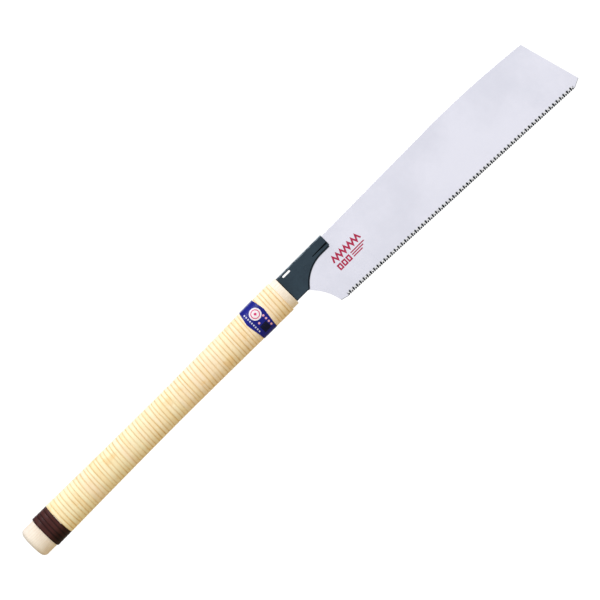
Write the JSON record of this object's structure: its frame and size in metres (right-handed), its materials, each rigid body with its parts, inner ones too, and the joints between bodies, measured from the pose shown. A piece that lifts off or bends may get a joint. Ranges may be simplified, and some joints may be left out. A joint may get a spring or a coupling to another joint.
{
  "type": "hand saw",
  "caption": "Long-handled pull saw with a cane-bound oval wooden handle, a folded steel holder and a wide thin blade that hooks on a pin and swings down for changing.",
  "frame": {"origin": "middle of the handle's length, on its axis and in the blade's middle plane", "axes": "+X along the handle toward the blade's toe, +Z toward the blade's spine so that the teeth point down, Y through the blade's thickness"},
  "size_m": [0.6942, 0.0272, 0.0765],
  "materials": {
    "bare_wood": "sanded, unfinished",
    "cane": "split cane, satin",
    "dark_cane": "stained split cane, semi-gloss",
    "label": "printed film",
    "holder_paint": "satin baked enamel",
    "tang_steel": "zinc plated",
    "blade_steel": "ground and lightly plated, satin",
    "blade_print": "red ink printed on the blade"
  },
  "bodies": {
    "handle": {"handle_core": "bare_wood", "cane_wrap": "cane", "cane_end_band": "dark_cane", "label_band": "label", "blade_holder": "holder_paint", "tang_plate": "tang_steel", "tang_pins": "tang_steel", "hook_pin": "holder_paint"},
    "blade": {"blade": "blade_steel"}
  },
  "joints": [
    {"name": "blade_swing", "type": "hinge", "parent": "handle", "child": "blade", "pos_m": [0.20305, 0, 0.0035], "axis": [0, 1, 0], "range_deg": [0, 25]}
  ]
}
